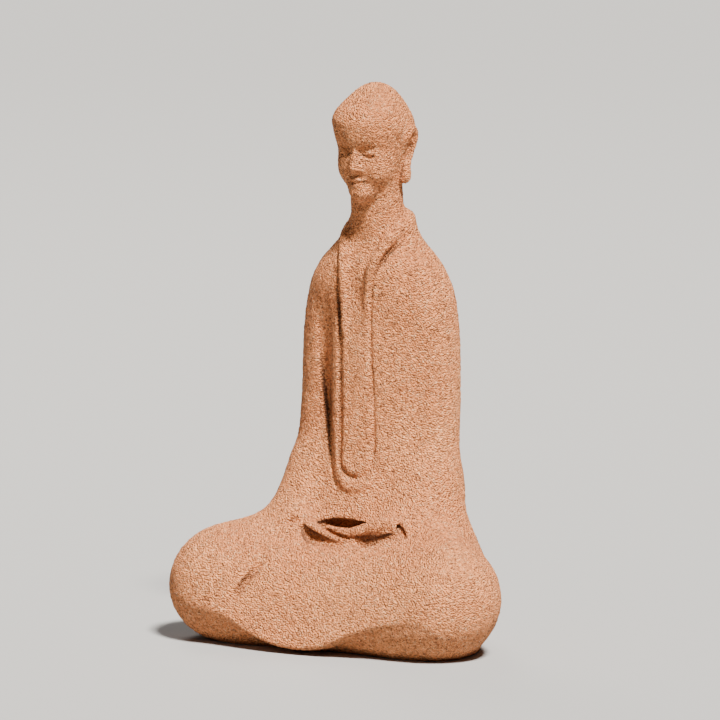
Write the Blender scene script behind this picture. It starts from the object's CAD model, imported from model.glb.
"""A seated figure in meditation, of coarse unglazed clay, on a pale floor.

The figure is one field: a function that is negative inside the clay and positive outside. Rounded
forms are blended into it, folds raise or sink it, and a fine grid finds where it crosses zero. The
forms are in millimetres, the figure faces -Y, and its trunk stands on the Z axis.
"""

import math

import bmesh
import bpy
import numpy as np
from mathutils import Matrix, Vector


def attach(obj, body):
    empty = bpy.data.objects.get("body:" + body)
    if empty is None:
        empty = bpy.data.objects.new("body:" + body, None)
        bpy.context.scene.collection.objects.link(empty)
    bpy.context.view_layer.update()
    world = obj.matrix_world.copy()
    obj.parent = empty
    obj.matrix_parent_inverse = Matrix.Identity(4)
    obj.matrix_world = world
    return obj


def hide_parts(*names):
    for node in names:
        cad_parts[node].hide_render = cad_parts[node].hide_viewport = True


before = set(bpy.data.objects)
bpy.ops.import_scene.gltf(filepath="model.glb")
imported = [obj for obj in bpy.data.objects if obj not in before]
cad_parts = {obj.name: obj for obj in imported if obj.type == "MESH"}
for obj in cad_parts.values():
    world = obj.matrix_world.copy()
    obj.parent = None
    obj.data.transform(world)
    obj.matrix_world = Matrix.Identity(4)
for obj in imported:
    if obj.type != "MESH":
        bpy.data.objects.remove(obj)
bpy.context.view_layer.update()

MM = 0.001


# Measuring

def mix(a, b, share):
    return a + (b - a) * share


def ramp(value, start, end):
    t = np.clip((value - start) / (end - start), 0, 1)
    return t * t * (3 - 2 * t)


def bump(value, width):
    """A bump of height 1 at 0 that has died away at about twice its width."""
    return np.exp(-(value / width) ** 2)


def profile(height, knots):
    """The value at each height of a smooth curve through knots [height, value]."""
    heights, values = np.array(knots, float).T
    slopes = np.gradient(values, heights)
    slopes[1:-1] = (values[2:] - values[:-2]) / (heights[2:] - heights[:-2])
    inside = np.clip(height, heights[0], heights[-1])
    i = np.clip(np.searchsorted(heights, inside, side="right") - 1, 0, len(heights) - 2)
    span = heights[i + 1] - heights[i]
    t = (inside - heights[i]) / span
    rise = values[i + 1] - values[i]
    s0, s1 = slopes[i] * span, slopes[i + 1] * span
    return values[i] + t * (s0 + t * (3 * rise - 2 * s0 - s1 + t * (s0 + s1 - 2 * rise)))


# Forms, as the distance to their surface, negative inside

def ellipsoid(p, centre, radii):
    radii = np.array(radii, float)
    q = (p - np.array(centre, float)) / radii
    reach = np.sqrt((q * q).sum(1)) + 1e-9
    return reach * (reach - 1) / (np.sqrt(((q / radii) ** 2).sum(1)) + 1e-9)


STEPS = 8


def strand(stations):
    """More stations along a smooth curve through stations [x, y, z, radius]."""
    s = np.array(stations, float)
    last = len(s) - 1
    found = []
    for i in range(last):
        p0, p1, p2, p3 = s[max(i - 1, 0)], s[i], s[i + 1], s[min(i + 2, last)]
        for t in np.arange(STEPS) / STEPS:
            cubic = 2 * p0 - 5 * p1 + 4 * p2 - p3 + t * (3 * (p1 - p2) + p3 - p0)
            found.append(p1 + t / 2 * (p2 - p0 + t * cubic))
    found.append(s[-1])
    return np.array(found)


def swept(p, stations):
    """A ball that is dragged along straight stretches between stations [x, y, z, radius]."""
    nearest = np.full(len(p), np.inf)
    for a, b in zip(stations[:-1], stations[1:]):
        along = b[:3] - a[:3]
        away = p - a[:3]
        t = np.clip(away @ along / (along @ along), 0, 1)
        gap = away - t[:, None] * along
        np.minimum(nearest, np.sqrt((gap * gap).sum(1)) - a[3] - (b[3] - a[3]) * t, out=nearest)
    return nearest


def column(p, middle, centre, half_width, half_depth):
    """An upright form whose level sections are ellipses, all given by knots [height, value]."""
    x, y, z = p.T
    a, b = profile(z, half_width), profile(z, half_depth)
    u, v = (x - profile(z, middle)) / a, (y - profile(z, centre)) / b
    reach = np.sqrt(u * u + v * v) + 1e-9
    return reach * (reach - 1) / (np.sqrt((u / a) ** 2 + (v / b) ** 2) + 1e-9)


def straight(stations):
    return np.array(stations, float)


def both_sides(make, stations):
    left = np.array(stations, float)
    right = left * [-1, 1, 1, 1]
    return [make(left), make(right)]


def both_ellipsoids(centre, radii):
    return [(centre, radii), ([-centre[0], centre[1], centre[2]], radii)]


def join(a, b, fillet):
    """Two forms joined with a fillet of about the given size."""
    near = np.maximum(fillet - np.abs(a - b), 0) / fillet
    return np.minimum(a, b) - near * near * fillet / 4


def cut(a, b, rounding):
    """Form b cut out of form a, with the edge rounded by about the given size."""
    return -join(-a, b, rounding)


# The folded legs under the robe

SHINS = strand([
    [-33.8, -25, 15, 15.1], [-16, -23.2, 14.8, 14.9], [0, -22.4, 14.6, 14.9],
    [16, -23.2, 14.8, 14.9], [33.2, -24.6, 15.3, 14.9],
])
THIGHS = both_sides(straight, [[8, -4, 17, 15], [28, -20, 15, 11.5]])
SEAT = ([0, 0, 15], [26, 15.5, 19])
LEG_FILLET = 10


def legs(p):
    clay = swept(p, SHINS)
    for thigh in THIGHS:
        clay = join(clay, swept(p, thigh), LEG_FILLET)
    return join(clay, ellipsoid(p, *SEAT), LEG_FILLET)


# Below its widest level the robe hangs straight down to its hem, and under the hem the legs curve
# back in. The hem hangs to just above the floor in the middle and rises towards each knee. Its edge
# is crisp in the middle and soft at the knees. The front of the lap leans outwards, most of all in
# the middle.
WIDEST_LEVEL = 15.3
HEM_HEIGHT = [
    [-50, 16], [-37, 12.5], [-25.3, 8.4], [-18, 4.8], [-13.3, 3], [-9, 1.9], [-4, 1.4], [1, 1.7],
    [6, 3], [10, 5], [17, 7.8], [25, 11], [36, 14.5], [50, 18],
]
HEM_EDGE = 1.8
HEM_EDGE_AT_KNEES = 8
LEAN = 0.3
LEAN_AT_KNEES = 0.09


def lap(p):
    x, y, z = p.T
    at_knees = ramp(np.abs(x), 18, 44)
    lean = mix(LEAN, LEAN_AT_KNEES, at_knees) * ramp(-y, 8, 26)
    leaning = y + lean * (WIDEST_LEVEL - z)
    below_hem = (profile(x, HEM_HEIGHT) - z) / mix(HEM_EDGE, HEM_EDGE_AT_KNEES, at_knees)
    under = np.maximum(ramp(below_hem, -1 / 3, 2 / 3), ramp(y, -22, -10))
    hanging = legs(np.stack([x, leaning, np.maximum(z, WIDEST_LEVEL)], 1))
    return mix(hanging, legs(np.stack([x, leaning, z], 1)), under)


# A short crease where the robe is pulled over the right thigh.
THIGH_CREASE = strand([
    [-18, -34.1, 21.7, 0.2], [-20.2, -35.7, 18.8, 0.7], [-22, -37.5, 15.9, 0.6], [-23.3, -38.8, 13.5, 0.2],
])
CREASE_ROUNDING = 2.6

# The trunk and the sleeves. The trunk ends in a sloping plane, high at the nape

TRUNK = dict(
    middle=[[0, 0], [120, 0]],
    centre=[[20, -2.5], [40, -2.2], [63, -1], [80, -0.6], [92, -0.4], [106, 0], [112, 0], [118, 0.4]],
    half_width=[
        [20, 20], [40, 17], [63, 15], [80, 14.8], [92, 13.8], [100, 11.2], [106, 9], [112, 7.8],
        [118, 7.4],
    ],
    half_depth=[
        [20, 15], [40, 13.4], [63, 12.2], [80, 11.8], [92, 11], [100, 9.8], [106, 8.4], [112, 7.8],
        [118, 7.6],
    ],
)
TRUNK_TOP = 110
TRUNK_TOP_SLOPE = 0.62
TRUNK_TOP_ROUNDING = 2.5

SLEEVE_RADIUS = [
    [22, 11.2], [38, 8.6], [52, 8.2], [66, 8.1], [82, 8.4], [93, 9], [100, 8.4], [106, 5.8], [112, 3.4],
]
SLEEVE = dict(
    middle=[
        [22, 22], [38, 17.2], [52, 15.4], [66, 15], [82, 14.2], [93, 11.8], [100, 9], [106, 6.4],
        [112, 4],
    ],
    centre=[[22, -11], [38, -5.4], [52, -2.2], [66, -0.5], [112, -0.2]],
    half_width=SLEEVE_RADIUS,
    half_depth=SLEEVE_RADIUS,
)
SLEEVE_TOP = 112
FOLD_FILLET_RIGHT = 2
FOLD_FILLET_LEFT = 8
SLEEVE_FILLET = 10
SHOULDER_FILLET = 6
FOREARMS = both_sides(strand, [[16.4, -4, 42, 8.2], [17.5, -11, 34, 6.2], [15, -18, 30.5, 4]])
FOREARM_FILLET = 6
SLEEVE_TO_LAP = 14


def robe(p):
    x, y, z = p.T
    front = mix(FOLD_FILLET_RIGHT, FOLD_FILLET_LEFT, ramp(x, -2, 2))
    fillet = mix(front, SLEEVE_FILLET, np.maximum(ramp(y, -5, 3), ramp(z, 84, 98)))
    fillet = mix(fillet, SHOULDER_FILLET, ramp(z, 101, 109))
    top = (TRUNK_TOP + TRUNK_TOP_SLOPE * y - z) / math.hypot(1, TRUNK_TOP_SLOPE)
    clay = cut(column(p, **TRUNK), top, TRUNK_TOP_ROUNDING)
    for side in (1, -1):
        sleeve = column(p * [side, 1, 1], **SLEEVE)
        clay = join(clay, np.maximum(sleeve, z - SLEEVE_TOP), fillet)
    return clay


# The valleys between the trunk and the sleeves. The right one is a fold with one crisp edge

RIGHT_VALLEY = [
    [40, -4.9], [44.5, -7.2], [50.8, -9.4], [58.4, -11.4], [67.5, -13.1], [74, -13.8], [81, -14.3],
    [88, -14.8],
]
RIGHT_VALLEY_DEPTH = [[38, 0], [42, 0.5], [50, 1], [66, 1.5], [78, 1.3], [84, 0.6], [89, 0], [93, 0]]
LEFT_VALLEY = [[44, 10.5], [47.3, 13.3], [52, 15.4], [62, 16.3], [72, 16.6], [81, 16.5], [88, 16]]
LEFT_VALLEY_DEPTH = [[41, 0], [46, 0.4], [55, 0.6], [70, 0.5], [82, 0.3], [90, 0], [93, 0]]
RIGHT_VALLEY_WIDTH = 2.6
LEFT_VALLEY_WIDTH = 2


def valley_relief(p):
    x, y, z = p.T
    beside = x - profile(z, RIGHT_VALLEY)
    right = ramp(beside, -1, 0) * bump(np.maximum(beside, 0), RIGHT_VALLEY_WIDTH)
    right = right * profile(z, RIGHT_VALLEY_DEPTH)
    left = bump(x - profile(z, LEFT_VALLEY), LEFT_VALLEY_WIDTH) * profile(z, LEFT_VALLEY_DEPTH)
    return -ramp(-y, 1, 5) * (right + left)


# The opening of the robe: a long U that widens into the collar. A groove runs round it, with a
# rolled edge inside, and outside it, on the right and at the foot, hangs the end of a raised fold

OPENING_HALF_WIDTH = [
    [44, 5.1], [52, 5.15], [68, 5], [82, 4.85], [93, 5.25], [98.7, 5.65], [104, 7.2], [108, 8.8],
    [113, 9.1],
]
OPENING_MIDDLE = [
    [44, 0.2], [52, 0.1], [68, -0.8], [82, -1.5], [93, -1.65], [98.7, -1.25], [104, -0.55], [108, 0.1],
    [113, 0.35],
]
OPENING_FOOT = 49.5
FOLD_HEIGHT = 0.7
FLAP_HEIGHT = 0.3
GROOVE_DEPTH_RIGHT = 0.55
GROOVE_DEPTH_LEFT = 0.5
GROOVE_WIDTH = 0.6
ROLL_HEIGHT_RIGHT = 0.35
ROLL_HEIGHT_LEFT = 0.1
ROLL_WIDTH = 1.1
ROLL_INSET = 1.7


def opening_relief(p):
    x, y, z = p.T
    across = x - profile(z, OPENING_MIDDLE)
    away = np.where(z > OPENING_FOOT, np.abs(across), np.hypot(across, z - OPENING_FOOT))
    outside = away - profile(z, OPENING_HALF_WIDTH)
    front = ramp(-y, 3, 7) * ramp(z, 34, 37) * (1 - ramp(z, 98, 107))
    up_to_nape = ramp(-y, -1, 3) * ramp(z, 34, 37) * (1 - ramp(z, 110, 114))
    left = ramp(across, 0, 3) * ramp(z, 42, 47)
    fold = mix(FOLD_HEIGHT, 0, left) * (1 - ramp(z, 84, 98))
    fold = fold * ramp(outside, 0, 1) * (1 - ramp(outside, 2.6, 4.4))
    flap = mix(0, FLAP_HEIGHT, left) * ramp(outside, 0, 0.8) * (1 - ramp(outside, 3, 9))
    groove = mix(GROOVE_DEPTH_RIGHT, GROOVE_DEPTH_LEFT, left) * bump(outside, GROOVE_WIDTH)
    roll = mix(ROLL_HEIGHT_RIGHT, ROLL_HEIGHT_LEFT, left) * bump(outside + ROLL_INSET, ROLL_WIDTH)
    return front * (fold + flap + roll) - up_to_nape * groove


# The collar runs from the nape down both sides of the opening and sinks into the robe.
COLLAR = [
    strand([
        [0, 5.2, 113.2, 1.5], [-4.6, 3.4, 112.6, 1.6], [-7.4, -0.3, 111, 1.6], [-7.7, -5.4, 108.7, 1.5],
        [-7, -8.6, 105.4, 1.4], [-5.7, -10.9, 100.5, 1.1], [-5.2, -11.4, 93, 0.7], [-5, -11, 84, 0.2],
    ]),
    strand([
        [0, 5.2, 113.2, 1.5], [4.6, 3.4, 112.8, 1.6], [7.8, -0.3, 112, 1.7], [8, -4.6, 110.6, 1.6],
        [7.2, -7.9, 108.4, 1.6], [5.2, -10.7, 104.6, 1.4], [3.7, -11.8, 100.4, 1.2], [2.7, -11.4, 93, 0.7],
        [2.5, -11, 84, 0.2],
    ]),
]
COLLAR_FILLET = 2.6

# The hands. The right one lies in front of the left one, with dark gaps under both, a hollow
# above them, and a short crease at each cuff

HAND_HOLLOW = ([-0.4, -20.8, 32], [8.6, 3.8, 2.1])
RIGHT_HAND = strand([
    [-9.9, -21.5, 32, 1.6], [-6.5, -22.6, 30, 1.8], [-1.6, -24, 29.1, 1.4],
    [2.9, -24.8, 29, 0.8], [5.2, -25, 28.8, 0.3],
])
LEFT_HAND = strand([
    [15.4, -21.4, 33.9, 2.2], [12.1, -22, 33.2, 2.3], [8.1, -22.6, 31.9, 2],
    [3.9, -22.8, 30.8, 1.6], [0, -22.5, 30.8, 1.3], [-4.1, -21.8, 31.5, 0.8],
])
UNDER_RIGHT_HAND = strand([
    [-10.9, -22.9, 31.2, 0.7], [-8.4, -24.3, 29.4, 1.7], [-4.3, -25.7, 28.7, 1.6],
    [0, -26.2, 28.4, 1], [3.3, -26, 28.7, 0.4],
])
UNDER_LEFT_HAND = strand([
    [-6.8, -22.3, 32, 0.2], [-3, -22.9, 31, 0.35], [0.2, -23.8, 30.1, 0.45], [3.4, -24.7, 29.5, 0.6],
    [6.1, -25.2, 29.1, 1.2], [8.7, -25, 28.9, 1.8], [11.8, -24.8, 29.6, 1.6], [15.2, -24.1, 30.8, 1.1],
    [17.7, -23.3, 32, 0.5],
])
CUFFS = [
    strand([[-17.7, -24, 31.5, 0.3], [-14.7, -22.6, 32.6, 0.9], [-12.2, -21.2, 33.7, 0.4]]),
    strand([[15.8, -20.6, 34.6, 0.2], [18.2, -21.8, 32.8, 0.8], [20.8, -23, 30.7, 0.4]]),
]
FINGER_FILLET = 0.6
PALM_FILLET = 0.8


def hands(p, clay):
    clay = cut(clay, ellipsoid(p, *HAND_HOLLOW), PALM_FILLET)
    clay = join(clay, swept(p, LEFT_HAND), PALM_FILLET)
    clay = join(clay, swept(p, RIGHT_HAND), FINGER_FILLET)
    clay = cut(clay, swept(p, UNDER_LEFT_HAND), FINGER_FILLET)
    clay = cut(clay, swept(p, UNDER_RIGHT_HAND), FINGER_FILLET)
    for cuff in CUFFS:
        clay = cut(clay, swept(p, cuff), PALM_FILLET)
    return clay


# The neck and the head. The head has a frame of its own, whose origin is half way from the chin
# to the crown without the bump, and it is bowed a little

NECK = straight([[0, -0.6, 103, 7.4], [0, -2.3, 114, 7], [0, -3.5, 126, 6.9]])
HEAD_MIDDLE = np.array([0, -3.6, 132.2])
HEAD_BOW = math.radians(5)
NECK_FILLET = 3
JAW_FILLET = 1.8

CRANIUM = ([0, 1.2, 3.8], [9.8, 10.8, 11])
FOREHEAD = ([0, -3.5, 4.8], [7.8, 7.9, 6.8])
JAW = ([0, -3, -4.4], [7.2, 7.8, 8.6])
CHIN = ([0, -7.9, -10.3], [3.4, 3.4, 2.8])
CHEEKS = both_ellipsoids([3.7, -6.2, -3.9], [3.4, 3.6, 4.2])
HAIR_FRONT = ([0, -3.5, 8.3], [8.7, 7.7, 4.8])
HAIR_BUMP = ([0, 1, 11.2], [6.1, 6.3, 5.9])
HEAD_FILLET = 4
CHEEK_FILLET = 2.5
BUMP_FILLET = 3

# The features of the face, which are all raised by one length.
FACE_RISE = [0, 0, 1]
SOCKETS = both_ellipsoids([3.8, -11.7, 0.4], [2.9, 2, 1.8])
EYELIDS = both_ellipsoids([3.7, -8.1, -0.3], [2.3, 2.1, 1.4])
LID_LINES = both_sides(strand, [[1.7, -9.8, -0.7, 0.2], [3.6, -10.2, -1.4, 0.25], [5.6, -8.5, -0.8, 0.2]])
BROWS = both_sides(strand, [[1.3, -10.5, 1.7, 0.4], [3.5, -10.1, 2.8, 0.5], [6.3, -7.8, 1.9, 0.3]])
NOSE = strand([[0, -9.8, 1.6, 0.9], [0, -10.9, -1.8, 1.1], [0, -11.5, -4.2, 1.5]])
NOSTRILS = both_ellipsoids([1.5, -10.2, -4.7], [1.1, 1.2, 1])
UPPER_LIP = strand([
    [2.9, -9.3, -7.8, 0.4], [1, -10.5, -7.6, 0.8], [-1, -10.5, -7.6, 0.8], [-2.9, -9.3, -7.8, 0.4],
])
LOWER_LIP = ([0, -9.9, -9.2], [1.9, 1.4, 0.9])
MOUTH_LINE = strand([[3, -9.7, -7.8, 0.2], [0, -11.5, -8.4, 0.25], [-3, -9.7, -7.8, 0.2]])
FACE_FILLET = dict(nose=1.6, socket=1.6, eyelid=0.6, brow=0.9, lip=0.7, line=0.3)

EAR_RIMS = both_sides(strand, [
    [8.8, 0.2, 0.5, 0.8], [9.9, -0.2, 3.8, 1.1], [10.2, 2, 5.4, 1.2], [10, 3.6, 2.8, 1.1],
    [9, 2.6, -1.6, 1], [8.4, 1, -5, 1],
])
EAR_LOBES = both_sides(strand, [[8.6, 0.8, -4, 1.1], [8.7, 0.6, -6.6, 1.4], [8.4, 0.6, -8, 1.4]])
EAR_HOLLOWS = both_sides(straight, [[10, 1.5, 0.6, 1.1], [9.6, 1.2, -2.4, 0.7]])
EAR_FILLET = 0.9
EAR_HOLLOW_ROUNDING = 0.7

HAIRLINE = 8.2
HAIRLINE_DIP = 7
HAIRLINE_DIP_BEHIND = 4
HAIR_HEIGHT = 0.25


def face(p, clay):
    clay = join(clay, swept(p, NOSE), FACE_FILLET["nose"])
    for side in (0, 1):
        clay = cut(clay, ellipsoid(p, *SOCKETS[side]), FACE_FILLET["socket"])
        clay = join(clay, ellipsoid(p, *EYELIDS[side]), FACE_FILLET["eyelid"])
        clay = join(clay, swept(p, BROWS[side]), FACE_FILLET["brow"])
        clay = cut(clay, swept(p, LID_LINES[side]), FACE_FILLET["line"])
        clay = join(clay, ellipsoid(p, *NOSTRILS[side]), FACE_FILLET["eyelid"])
    clay = join(clay, swept(p, UPPER_LIP), FACE_FILLET["lip"])
    clay = join(clay, ellipsoid(p, *LOWER_LIP), FACE_FILLET["lip"])
    return cut(clay, swept(p, MOUTH_LINE), FACE_FILLET["line"])


def ears(p, clay):
    for side in (0, 1):
        clay = join(clay, swept(p, EAR_RIMS[side]), EAR_FILLET)
        clay = join(clay, swept(p, EAR_LOBES[side]), EAR_FILLET)
        clay = cut(clay, swept(p, EAR_HOLLOWS[side]), EAR_HOLLOW_ROUNDING)
    return clay


def hair_relief(p):
    """The hair stands a little proud of the skin, above a line that dips in front of the ears."""
    x, y, z = p.T
    dip = HAIRLINE_DIP * ramp(np.abs(x), 3, 9) * ramp(y, -9, 0)
    hairline = HAIRLINE - dip - HAIRLINE_DIP_BEHIND * ramp(y, 2, 8)
    return HAIR_HEIGHT * ramp(z - hairline, -1, 1)


def head(p):
    x, dy, dz = (p - HEAD_MIDDLE).T
    c, s = math.cos(HEAD_BOW), math.sin(HEAD_BOW)
    q = np.stack([x, dy * c + dz * s, dz * c - dy * s], 1)
    clay = ellipsoid(q, *CRANIUM)
    clay = join(clay, ellipsoid(q, *FOREHEAD), HEAD_FILLET)
    clay = join(clay, ellipsoid(q, *JAW), HEAD_FILLET)
    for cheek in CHEEKS:
        clay = join(clay, ellipsoid(q, *cheek), CHEEK_FILLET)
    clay = join(clay, ellipsoid(q, *CHIN), CHEEK_FILLET)
    clay = join(clay, ellipsoid(q, *HAIR_BUMP), BUMP_FILLET)
    clay = join(clay, ellipsoid(q, *HAIR_FRONT), HEAD_FILLET)
    clay = clay - hair_relief(q)
    return ears(q, face(q - FACE_RISE, clay))


# The whole figure

FAR_AWAY = 1e3


def changed(p, clay, where, change):
    """The field with a form worked into it at the points where it can reach."""
    if where.any():
        clay[where] = change(p[where], clay[where])
    return clay


def add_lap(p, clay):
    clay = join(clay, lap(p), SLEEVE_TO_LAP)
    for forearm in FOREARMS:
        clay = join(clay, swept(p, forearm), FOREARM_FILLET)
    return clay


def add_hands(p, clay):
    return hands(p, cut(clay, swept(p, THIGH_CREASE), CREASE_ROUNDING))


def add_collar(p, clay):
    for side in COLLAR:
        clay = join(clay, swept(p, side), COLLAR_FILLET)
    return clay


def figure(p):
    y, z = p[:, 1], p[:, 2]
    clay = np.full(len(p), FAR_AWAY)
    changed(p, clay, z < 128, lambda q, c: robe(q))
    changed(p, clay, z < 75, add_lap)
    changed(p, clay, (y < -1) & (z > 38) & (z < 93), lambda q, c: c - valley_relief(q))
    changed(p, clay, (y < -8) & (z < 50), add_hands)
    changed(p, clay, (z > 80) & (z < 122), add_collar)
    changed(p, clay, (y < 1) & (z > 34) & (z < 114), lambda q, c: c - opening_relief(q))
    changed(p, clay, (z > 98) & (z < 132), lambda q, c: join(c, swept(q, NECK), NECK_FILLET))
    changed(p, clay, z > 112, lambda q, c: join(c, head(q), JAW_FILLET))
    return clay


# The grid. Its lines lie closer at the head and at the hands than at the knees

CELL = 0.62
KNEE_SPREAD = 1.7
SPREAD_FROM, SPREAD_TO = 12, 48
GRID_LOW, GRID_HIGH = -4, 153
GRID_CENTRE_Y = -4
GRID_HALF_WIDTH, GRID_FRONT, GRID_BACK = 54, 50, 26
CELL_HEIGHT = [[0, 1.4], [20, 1.3], [26, 0.8], [36, 0.8], [44, 1.1], [92, 1.1], [112, 0.58], [150, 0.58]]
CELL_WIDTH = [[92, 1], [112, 0.56], [150, 0.56]]
BLOCK = 4
BLOCK_REACH = 1.3
CORNERS = [(a, b, c) for a in (0, 1) for b in (0, 1) for c in (0, 1)]


def spread_lines(low, high):
    found = [0.0]
    for side, far in ((1, high), (-1, low)):
        at = 0.0
        while at < far:
            at += CELL * mix(1, KNEE_SPREAD, ramp(at, SPREAD_FROM, SPREAD_TO))
            found.append(side * at)
    return np.array(sorted(found))


def heights():
    found = [float(GRID_LOW)]
    while found[-1] < GRID_HIGH:
        found.append(found[-1] + CELL * float(profile(found[-1], CELL_HEIGHT)))
    return np.array(found)


def block_corners(per_block, shape):
    """Gives every grid corner the value of its block."""
    for axis in range(3):
        per_block = np.repeat(per_block, BLOCK, axis)
    return per_block[:shape[0], :shape[1], :shape[2]]


def grid_values(place, shape, widths):
    """The field at the grid's corners. Blocks far from the surface take one value."""
    centres = [np.minimum(np.arange(0, n, BLOCK) + BLOCK // 2, n - 1) for n in shape]
    blocks = [len(c) for c in centres]
    i, j, k = (a.ravel() for a in np.meshgrid(*centres, indexing="ij"))
    middle = figure(place(i, j, k))
    reach = BLOCK * CELL * KNEE_SPREAD * BLOCK_REACH
    near = np.abs(middle) < reach * widths[k]
    values = block_corners(middle.reshape(blocks), shape)
    i, j, k = np.nonzero(block_corners(near.reshape(blocks), shape))
    values[i, j, k] = figure(place(i, j, k))
    return values


def crossed_cells(inside):
    """The cells that have corners on both sides of the surface."""
    size = [n - 1 for n in inside.shape]
    count = sum(inside[a:size[0] + a, b:size[1] + b, c:size[2] + c].astype(int) for a, b, c in CORNERS)
    return np.nonzero((count > 0) & (count < len(CORNERS)))


def cell_points(place, values, cells):
    """In each cell, the middle of the places where the surface crosses its edges."""
    i, j, k = cells
    total, crossings = np.zeros((len(i), 3)), np.zeros(len(i))
    for corner in CORNERS:
        for axis in range(3):
            if corner[axis]:
                continue
            far = [c + (m == axis) for m, c in enumerate(corner)]
            start = (i + corner[0], j + corner[1], k + corner[2])
            end = (i + far[0], j + far[1], k + far[2])
            a, b = values[start], values[end]
            crossed = (a < 0) != (b < 0)
            t = np.where(crossed, a / np.where(crossed, a - b, 1), 0)
            total += crossed[:, None] * mix(place(*start), place(*end), t[:, None])
            crossings += crossed
    return total / crossings[:, None]


def cell_quads(inside, number):
    """One quad, facing out, round each grid line that the surface crosses."""
    quads = []
    for axis in range(3):
        u, v = (axis + 1) % 3, (axis + 2) % 3
        start = [slice(1, n - 1) for n in inside.shape]
        end = list(start)
        end[axis] = slice(2, inside.shape[axis])
        starts_inside, ends_inside = inside[tuple(start)], inside[tuple(end)]
        at = [c + 1 for c in np.nonzero(starts_inside != ends_inside)]
        ring = []
        for du, dv in ((0, 0), (1, 0), (1, 1), (0, 1)):
            cell = list(at)
            cell[u] = cell[u] - du
            cell[v] = cell[v] - dv
            ring.append(number[tuple(cell)])
        quad = np.stack(ring, 1)
        turned = ~inside[tuple(at)]
        quad[turned] = quad[turned][:, ::-1]
        quads.append(quad)
    return np.concatenate(quads)


def slopes(points, value, step):
    """How fast the field rises along each axis."""
    return np.stack([(figure(points + step * axis) - value) / step for axis in np.eye(3)], 1)


def onto_surface(points, rounds=3, step=0.03, longest=0.3):
    for _ in range(rounds):
        value = figure(points)
        slope = slopes(points, value, step)
        move = np.clip(value / ((slope ** 2).sum(1) + 1e-9), -longest, longest)
        points = points - move[:, None] * slope
    return points


def surface_mesh():
    """One vertex in each cell that the surface crosses, and one quad round each crossed line."""
    xs, ys = spread_lines(GRID_HALF_WIDTH, GRID_HALF_WIDTH), spread_lines(GRID_FRONT, GRID_BACK)
    zs = heights()
    widths = profile(zs, CELL_WIDTH)

    def place(i, j, k):
        return np.stack([xs[i] * widths[k], GRID_CENTRE_Y + ys[j] * widths[k], zs[k]], 1)

    values = grid_values(place, (len(xs), len(ys), len(zs)), widths)
    inside = values < 0
    cells = crossed_cells(inside)
    number = np.full(values.shape, -1)
    number[cells] = np.arange(len(cells[0]))
    return onto_surface(cell_points(place, values, cells)), cell_quads(inside, number)


# The clay's coarse sand, as small lumps on the mesh

NORMAL_STEP = 0.05
GRAIN_HEIGHT = 0.065
GRAIN_FROM = 0.4
GRAIN_SEED = 7
TALLEST_GRAIN = 2


def surface_normals(points):
    slope = slopes(points, figure(points), NORMAL_STEP)
    return slope / (np.linalg.norm(slope, axis=1)[:, None] + 1e-9)


def with_grain(points, normals):
    """The points moved in or out by chance. Those at the floor stay."""
    chance = np.random.default_rng(GRAIN_SEED).normal(0, 1, len(points))
    lumps = chance.clip(-TALLEST_GRAIN, TALLEST_GRAIN) * GRAIN_HEIGHT
    return points + normals * (lumps * ramp(points[:, 2], 0, GRAIN_FROM))[:, None]


# How enclosed the clay is at each point: 0 in the open, towards 1 deep in a gap

OPEN_REACH = 3.5


def hollowness(points, normals):
    ahead = figure(points + normals * OPEN_REACH)
    return np.clip(1 - ahead / OPEN_REACH, 0, 1)


# The mesh

# A face counts as level when its normal's upright share is above this.
LEVEL = 0.999


def added(name, data):
    """A new object in the scene."""
    thing = bpy.data.objects.new(name, data)
    bpy.context.collection.objects.link(thing)
    return thing


def flatten_underside(shape):
    """Cuts the shape off at the floor and closes it there."""
    made = bmesh.ops.bisect_plane(
        shape,
        geom=shape.verts[:] + shape.edges[:] + shape.faces[:],
        plane_co=(0, 0, 0),
        plane_no=(0, 0, 1),
        clear_inner=True,
    )
    rim = [e for e in made["geom_cut"] if isinstance(e, bmesh.types.BMEdge)]
    base = bmesh.ops.contextual_create(shape, geom=rim)["faces"]
    bmesh.ops.triangulate(shape, faces=base)
    bmesh.ops.recalc_face_normals(shape, faces=shape.faces[:])


def centre_and_scale(shape):
    """Moves the shape's middle over the origin, turns it into metres, and gives the move in mm."""
    low, high = np.min([v.co for v in shape.verts], 0), np.max([v.co for v in shape.verts], 0)
    move = Vector((-(low[0] + high[0]) / 2, -(low[1] + high[1]) / 2, 0))
    bmesh.ops.translate(shape, vec=move, verts=shape.verts[:])
    bmesh.ops.scale(shape, vec=(MM, MM, MM), verts=shape.verts[:])
    return move


def make_figurine():
    points, quads = surface_mesh()
    normals = surface_normals(points)
    mesh = bpy.data.meshes.new("figurine")
    mesh.from_pydata(with_grain(points, normals).tolist(), [], quads.tolist())
    hollow = mesh.attributes.new("hollow", "FLOAT", "POINT")
    hollow.data.foreach_set("value", hollowness(points, normals))

    shape = bmesh.new()
    shape.from_mesh(mesh)
    flatten_underside(shape)
    move = centre_and_scale(shape)
    for side in shape.faces:
        side.smooth = abs(side.normal.z) < LEVEL or side.calc_center_median().z > MM
    shape.to_mesh(mesh)
    shape.free()
    return added("figurine_clay", mesh), move


# The clay's material. Its patterns are given by how many of their cells there are in a metre

CLAY = (0.82, 0.28, 0.098, 1)
WARM_CLAY = (0.9, 0.335, 0.122, 1)
STAINED_CLAY = (0.62, 0.2, 0.07, 1)
PALE_GRAIN = (1, 0.52, 0.27, 1)
DARK_GRAIN = (0.25, 0.085, 0.035, 1)
ENCLOSED_CLAY = (0.09, 0.038, 0.02, 1)
CLAY_ROUGHNESS = 0.92
CLAY_SPECULAR = 0.25

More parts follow.
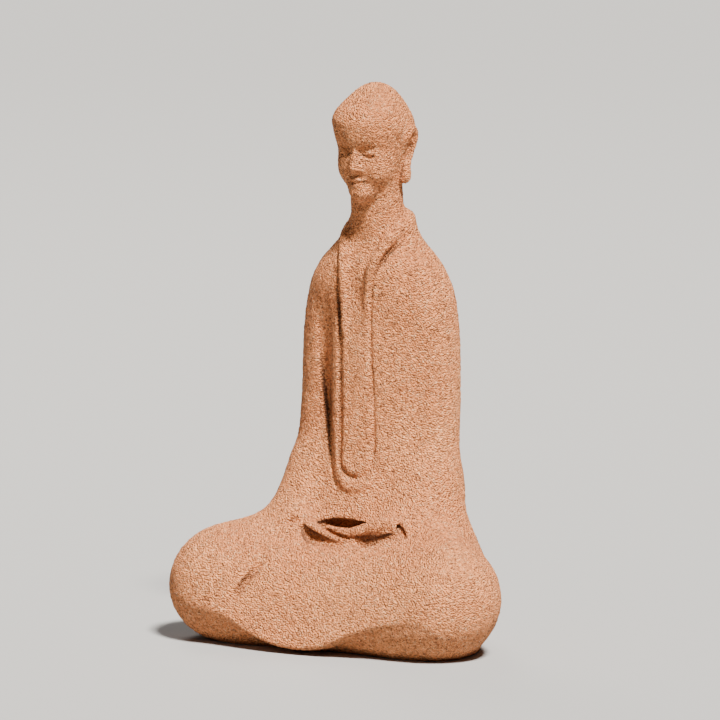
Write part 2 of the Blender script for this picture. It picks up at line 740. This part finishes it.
SHADE_SCALE = 45
STAIN_SCALE = 160
SAND_SCALE = 2150
SPECK_SCALE = 2100
GRIT_SCALE = 2600
SAND_RELIEF = -1.1
GRIT_RELIEF = 0.9
RELIEF_DEPTH = 0.95 * MM


def new_material(name, roughness):
    material = bpy.data.materials.new(name)
    material.use_nodes = True
    shader = material.node_tree.nodes["Principled BSDF"]
    shader.inputs["Roughness"].default_value = roughness
    return material, shader


def clay_material():
    material, shader = new_material("sandy_clay", CLAY_ROUGHNESS)
    shader.inputs["Specular IOR Level"].default_value = CLAY_SPECULAR
    nodes, links = material.node_tree.nodes, material.node_tree.links
    place = nodes.new("ShaderNodeTexCoord").outputs["Object"]

    def noise(scale, detail, roughness=0.5):
        node = nodes.new("ShaderNodeTexNoise")
        node.inputs["Scale"].default_value = scale
        node.inputs["Detail"].default_value = detail
        node.inputs["Roughness"].default_value = roughness
        links.new(place, node.inputs["Vector"])
        return node.outputs["Fac"]

    def cells(scale):
        node = nodes.new("ShaderNodeTexVoronoi")
        node.inputs["Scale"].default_value = scale
        links.new(place, node.inputs["Vector"])
        return node

    def ranged(value, low, high, to_low, to_high):
        """Turns the range from low to high into the range from to_low to to_high."""
        node = nodes.new("ShaderNodeMapRange")
        node.inputs["From Min"].default_value = low
        node.inputs["From Max"].default_value = high
        node.inputs["To Min"].default_value = to_low
        node.inputs["To Max"].default_value = to_high
        links.new(value, node.inputs["Value"])
        return node.outputs["Result"]

    def combined(operation, a, b):
        node = nodes.new("ShaderNodeMath")
        node.operation = operation
        for slot, value in zip(node.inputs, (a, b)):
            if isinstance(value, (int, float)):
                slot.default_value = value
            else:
                links.new(value, slot)
        return node.outputs["Value"]

    def blended(share, a, b):
        """Colour a where the share is 0, and colour b where it is 1."""
        node = nodes.new("ShaderNodeMix")
        node.data_type = "RGBA"
        links.new(share, node.inputs[0])
        for slot, value in zip([s for s in node.inputs if s.type == "RGBA"], (a, b)):
            if isinstance(value, tuple):
                slot.default_value = value
            else:
                links.new(value, slot)
        return next(s for s in node.outputs if s.type == "RGBA")

    sand = cells(SAND_SCALE)
    specks = cells(SPECK_SCALE)
    grit = noise(GRIT_SCALE, 0)
    enclosed = nodes.new("ShaderNodeAttribute")
    enclosed.attribute_name = "hollow"

    shade = ranged(noise(SHADE_SCALE, 3), 0.35, 0.65, 0, 1)
    stain = ranged(noise(STAIN_SCALE, 4, 0.6), 0.5, 0.8, 0, 0.35)
    pale = ranged(sand.outputs["Color"], 0.62, 1, 0, 0.95)
    dark = ranged(specks.outputs["Color"], 0.05, 0.5, 0.95, 0)
    deep = ranged(enclosed.outputs["Fac"], 0.42, 1, 0, 0.88)
    colour = blended(shade, CLAY, WARM_CLAY)
    colour = blended(stain, colour, STAINED_CLAY)
    colour = blended(pale, colour, PALE_GRAIN)
    colour = blended(dark, colour, DARK_GRAIN)
    colour = blended(deep, colour, ENCLOSED_CLAY)
    links.new(colour, shader.inputs["Base Color"])

    domes = combined("MULTIPLY", sand.outputs["Distance"], SAND_RELIEF)
    height = combined("ADD", domes, combined("MULTIPLY", grit, GRIT_RELIEF))
    relief = nodes.new("ShaderNodeBump")
    relief.inputs["Strength"].default_value = 1
    relief.inputs["Distance"].default_value = RELIEF_DEPTH
    links.new(height, relief.inputs["Height"])
    links.new(relief.outputs["Normal"], shader.inputs["Normal"])
    return material


piece, shift = make_figurine()
piece.data.materials.append(clay_material())
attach(piece, "root")
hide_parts("buddha_figurine")


# The floor, the light and the camera

FLOOR_REACH = 4.0
FLOOR_COLOUR = (0.36, 0.357, 0.352, 1)
FLOOR_ROUGHNESS = 0.8


def make_floor():
    far = FLOOR_REACH
    mesh = bpy.data.meshes.new("floor")
    mesh.from_pydata([(-far, -far, 0), (far, -far, 0), (far, far, 0), (-far, far, 0)], [], [(0, 1, 2, 3)])
    floor = added("floor", mesh)
    material, shader = new_material("pale_floor", FLOOR_ROUGHNESS)
    shader.inputs["Base Color"].default_value = FLOOR_COLOUR
    mesh.materials.append(material)


VIEW_AZIMUTH = math.radians(30)
VIEW_ELEVATION = math.radians(9)
RIGHT = Vector((math.cos(VIEW_AZIMUTH), math.sin(VIEW_AZIMUTH), 0))
FORWARD = Vector((
    -math.sin(VIEW_AZIMUTH) * math.cos(VIEW_ELEVATION),
    math.cos(VIEW_AZIMUTH) * math.cos(VIEW_ELEVATION),
    -math.sin(VIEW_ELEVATION),
))
UP = RIGHT.cross(FORWARD)
CAMERA_DISTANCE = 5.0
CAMERA_SEES_TO = 20
FRAME_WIDTH = 0.1925
FRAME_MIDDLE = (-5.88, 73.3)
SENSOR_WIDTH = 36


def facing(direction):
    return direction.to_track_quat("-Z", "Y").to_euler()


def make_camera():
    data = bpy.data.cameras.new("camera")
    data.sensor_width = SENSOR_WIDTH
    data.lens = SENSOR_WIDTH * CAMERA_DISTANCE / FRAME_WIDTH
    data.clip_end = CAMERA_SEES_TO
    camera = added("camera", data)
    depth = -FRAME_MIDDLE[1] * math.sin(VIEW_ELEVATION)
    target = (FRAME_MIDDLE[0] * RIGHT + FRAME_MIDDLE[1] * UP + depth * FORWARD + shift) * MM
    camera.location = target - FORWARD * CAMERA_DISTANCE
    camera.rotation_euler = facing(FORWARD)
    bpy.context.scene.camera = camera


# The lights stand in directions from the camera's own: azimuth to its right and elevation up from
# the floor, both in degrees
KEY = dict(azimuth=26, elevation=57, strength=12.5, angle=11, colour=(1, 0.96, 0.9))
FILL = dict(azimuth=-50, elevation=25, distance=1.4, size=0.9, power=0.25, colour=(1, 0.97, 0.93))
BACK = dict(azimuth=195, elevation=40, distance=1.2, size=0.5, power=2.5, colour=(1, 0.98, 0.95))
LIGHT_SPREAD = math.radians(120)
LIT_MIDDLE = Vector((0, 0, 0.07))
WORLD_COLOUR = (0.93, 0.94, 0.96, 1)
WORLD_STRENGTH = 0.06


def direction_of(azimuth, elevation):
    around = VIEW_AZIMUTH + math.radians(azimuth)
    level = math.cos(math.radians(elevation))
    return Vector((math.sin(around) * level, -math.cos(around) * level, math.sin(math.radians(elevation))))


def area_light(name, azimuth, elevation, distance, size, power, colour):
    """A soft light that faces the figure."""
    data = bpy.data.lights.new(name, "AREA")
    data.shape = "DISK"
    data.size = size
    data.energy = power
    data.spread = LIGHT_SPREAD
    data.color = colour
    light = added(name, data)
    towards = direction_of(azimuth, elevation)
    light.location = LIT_MIDDLE + towards * distance
    light.rotation_euler = facing(-towards)


def key_light(azimuth, elevation, strength, angle, colour):
    """A broad light so far off that it lights the whole floor alike."""
    data = bpy.data.lights.new("key", "SUN")
    data.energy = strength
    data.angle = math.radians(angle)
    data.color = colour
    light = added("key", data)
    light.rotation_euler = facing(-direction_of(azimuth, elevation))


def make_world():
    world = bpy.data.worlds.new("studio")
    world.use_nodes = True
    background = world.node_tree.nodes["Background"]
    background.inputs["Color"].default_value = WORLD_COLOUR
    background.inputs["Strength"].default_value = WORLD_STRENGTH
    bpy.context.scene.world = world


make_floor()
make_camera()
key_light(**KEY)
area_light("fill", **FILL)
area_light("back", **BACK)
make_world()
